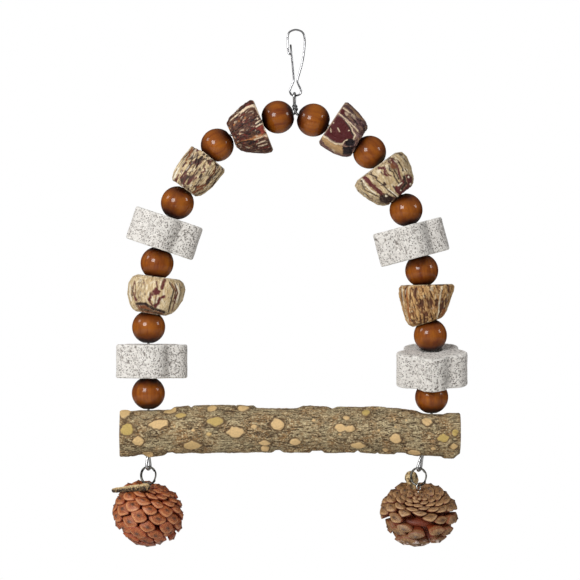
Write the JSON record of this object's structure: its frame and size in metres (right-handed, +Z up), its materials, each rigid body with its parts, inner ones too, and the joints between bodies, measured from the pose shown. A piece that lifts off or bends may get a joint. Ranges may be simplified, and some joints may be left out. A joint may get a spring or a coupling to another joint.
{
  "type": "bird swing",
  "caption": "Hanging bird swing: a wire arch strung with wooden beads, nut husks and pumice flowers over a bark perch, with two pine cones below.",
  "frame": {"origin": "inside top of the hook's crook, where the swing hangs", "axes": "+Z up, +X to the right along the perch, -Y towards the viewer"},
  "size_m": [0.2137, 0.0455, 0.31],
  "materials": {
    "hook_wire": "bright nickel-plated spring wire",
    "arch_wire": "galvanised steel wire",
    "ring_wire": "nickel-plated split ring, slightly dulled",
    "perch_bark": "natural bark with trimmed knobs, matt",
    "bead_wood": "stained and lacquered wood, glossy",
    "pumice": "open-pored pumice, matt",
    "husk_purple_brown": "rough dark nut husk",
    "husk_red": "smooth red-brown nut husk",
    "husk_cream": "fibrous cream nut husk with brown streaks",
    "husk_tan": "ribbed tan nut husk",
    "cone_red_brown": "red-brown pine cone scales",
    "cone_tan": "tan-brown open pine cone scales"
  },
  "bodies": {
    "hook": {"hook_frame": "hook_wire"},
    "gate": {"hook_gate": "hook_wire"},
    "arch": {"arch_wire": "arch_wire", "perch": "perch_bark"},
    "left_bead_1": {"left_bead_1": "bead_wood"},
    "left_husk_1": {"left_husk_1": "husk_purple_brown"},
    "left_bead_2": {"left_bead_2": "bead_wood"},
    "left_husk_2": {"left_husk_2": "husk_cream"},
    "left_bead_3": {"left_bead_3": "bead_wood"},
    "left_stone_1": {"left_stone_1": "pumice"},
    "left_bead_4": {"left_bead_4": "bead_wood"},
    "left_husk_3": {"left_husk_3": "husk_cream"},
    "left_bead_5": {"left_bead_5": "bead_wood"},
    "left_stone_2": {"left_stone_2": "pumice"},
    "left_bead_6": {"left_bead_6": "bead_wood"},
    "left_ring": {"left_ring": "ring_wire"},
    "left_cone": {"left_cone": "cone_red_brown", "left_cone_eye": "ring_wire"},
    "right_bead_1": {"right_bead_1": "bead_wood"},
    "right_husk_1": {"right_husk_1": "husk_red"},
    "right_bead_2": {"right_bead_2": "bead_wood"},
    "right_husk_2": {"right_husk_2": "husk_cream"},
    "right_bead_3": {"right_bead_3": "bead_wood"},
    "right_stone_1": {"right_stone_1": "pumice"},
    "right_bead_4": {"right_bead_4": "bead_wood"},
    "right_husk_3": {"right_husk_3": "husk_tan"},
    "right_bead_5": {"right_bead_5": "bead_wood"},
    "right_stone_2": {"right_stone_2": "pumice"},
    "right_bead_6": {"right_bead_6": "bead_wood"},
    "right_ring": {"right_ring": "ring_wire"},
    "right_cone": {"right_cone": "cone_tan", "right_cone_eye": "ring_wire"}
  },
  "joints": [
    {"name": "gate_hinge", "type": "hinge", "parent": "hook", "child": "gate", "pos_m": [-0.00122, 0, -0.02971], "axis": [0, 1, 0], "range_deg": [0, 12], "stiffness_Nm_per_rad": 0.02},
    {"name": "arch_swing", "type": "hinge", "parent": "hook", "child": "arch", "pos_m": [-0.00092, 0, -0.039], "axis": [1, 0, 0], "range_deg": [-35, 35]},
    {"name": "left_bead_1_spin", "type": "hinge", "parent": "arch", "child": "left_bead_1", "pos_m": [-0.01092, 0, -0.05185], "axis": [0.9869, 0, 0.1616], "continuous": true},
    {"name": "left_husk_1_spin", "type": "hinge", "parent": "arch", "child": "left_husk_1", "pos_m": [-0.0302, 0, -0.05776], "axis": [0.9081, 0, 0.4187], "continuous": true},
    {"name": "left_bead_2_spin", "type": "hinge", "parent": "arch", "child": "left_bead_2", "pos_m": [-0.04722, 0, -0.06859], "axis": [0.7637, 0, 0.6456], "continuous": true},
    {"name": "left_husk_2_spin", "type": "hinge", "parent": "arch", "child": "left_husk_2", "pos_m": [-0.0614, 0, -0.08455], "axis": [0.5508, 0, 0.8346], "continuous": true},
    {"name": "left_bead_3_spin", "type": "hinge", "parent": "arch", "child": "left_bead_3", "pos_m": [-0.07119, 0, -0.10331], "axis": [0.4065, 0, 0.9137], "continuous": true},
    {"name": "left_stone_1_spin", "type": "hinge", "parent": "arch", "child": "left_stone_1", "pos_m": [-0.07813, 0, -0.12113], "axis": [0.3178, 0, 0.9481], "continuous": true},
    {"name": "left_bead_4_spin", "type": "hinge", "parent": "arch", "child": "left_bead_4", "pos_m": [-0.08333, 0, -0.13953], "axis": [0.2263, 0, 0.9741], "continuous": true},
    {"name": "left_husk_3_spin", "type": "hinge", "parent": "arch", "child": "left_husk_3", "pos_m": [-0.0868, 0, -0.15854], "axis": [0.1317, 0, 0.9913], "continuous": true},
    {"name": "left_bead_5_spin", "type": "hinge", "parent": "arch", "child": "left_bead_5", "pos_m": [-0.08842, 0, -0.17779], "axis": [0.036, 0, 0.9994], "continuous": true},
    {"name": "left_stone_2_spin", "type": "hinge", "parent": "arch", "child": "left_stone_2", "pos_m": [-0.08855, 0, -0.19762], "axis": [0, 0, 1], "continuous": true},
    {"name": "left_bead_6_spin", "type": "hinge", "parent": "arch", "child": "left_bead_6", "pos_m": [-0.08855, 0, -0.21745], "axis": [0, 0, 1], "continuous": true},
    {"name": "left_ring_swing", "type": "hinge", "parent": "arch", "child": "left_ring", "pos_m": [-0.08855, 0, -0.26325], "axis": [0.5446, 0.8387, 0], "range_deg": [-30, 30]},
    {"name": "left_cone_swing", "type": "hinge", "parent": "left_ring", "child": "left_cone", "pos_m": [-0.08855, 0, -0.27222], "axis": [0.8387, -0.5446, 0], "range_deg": [-20, 20]},
    {"name": "right_bead_1_spin", "type": "hinge", "parent": "arch", "child": "right_bead_1", "pos_m": [0.01038, 0, -0.05365], "axis": [-0.9608, 0, 0.2773], "continuous": true},
    {"name": "right_husk_1_spin", "type": "hinge", "parent": "arch", "child": "right_husk_1", "pos_m": [0.02841, 0, -0.06127], "axis": [-0.8685, 0, 0.4956], "continuous": true},
    {"name": "right_bead_2_spin", "type": "hinge", "parent": "arch", "child": "right_bead_2", "pos_m": [0.04415, 0, -0.07292], "axis": [-0.7275, 0, 0.6861], "continuous": true},
    {"name": "right_husk_2_spin", "type": "hinge", "parent": "arch", "child": "right_husk_2", "pos_m": [0.05728, 0, -0.08886], "axis": [-0.5346, 0, 0.8451], "continuous": true},
    {"name": "right_bead_3_spin", "type": "hinge", "parent": "arch", "child": "right_bead_3", "pos_m": [0.06605, 0, -0.10755], "axis": [-0.3082, 0, 0.9513], "continuous": true},
    {"name": "right_stone_1_spin", "type": "hinge", "parent": "arch", "child": "right_stone_1", "pos_m": [0.07129, 0, -0.12556], "axis": [-0.2506, 0, 0.9681], "continuous": true},
    {"name": "right_bead_4_spin", "type": "hinge", "parent": "arch", "child": "right_bead_4", "pos_m": [0.07545, 0, -0.14385], "axis": [-0.1927, 0, 0.9813], "continuous": true},
    {"name": "right_husk_3_spin", "type": "hinge", "parent": "arch", "child": "right_husk_3", "pos_m": [0.07864, 0, -0.16325], "axis": [-0.1313, 0, 0.9913], "continuous": true},
    {"name": "right_bead_5_spin", "type": "hinge", "parent": "arch", "child": "right_bead_5", "pos_m": [0.08061, 0, -0.18281], "axis": [-0.0694, 0, 0.9976], "continuous": true},
    {"name": "right_stone_2_spin", "type": "hinge", "parent": "arch", "child": "right_stone_2", "pos_m": [0.08135, 0, -0.20131], "axis": [-0.0109, 0, 0.9999], "continuous": true},
    {"name": "right_bead_6_spin", "type": "hinge", "parent": "arch", "child": "right_bead_6", "pos_m": [0.08137, 0, -0.21982], "axis": [0, 0, 1], "continuous": true},
    {"name": "right_ring_swing", "type": "hinge", "parent": "arch", "child": "right_ring", "pos_m": [0.07353, 0, -0.264], "axis": [0.5446, 0.8387, 0], "range_deg": [-30, 30]},
    {"name": "right_cone_swing", "type": "hinge", "parent": "right_ring", "child": "right_cone", "pos_m": [0.07353, 0, -0.27297], "axis": [0.8387, -0.5446, 0], "range_deg": [-20, 20]}
  ]
}
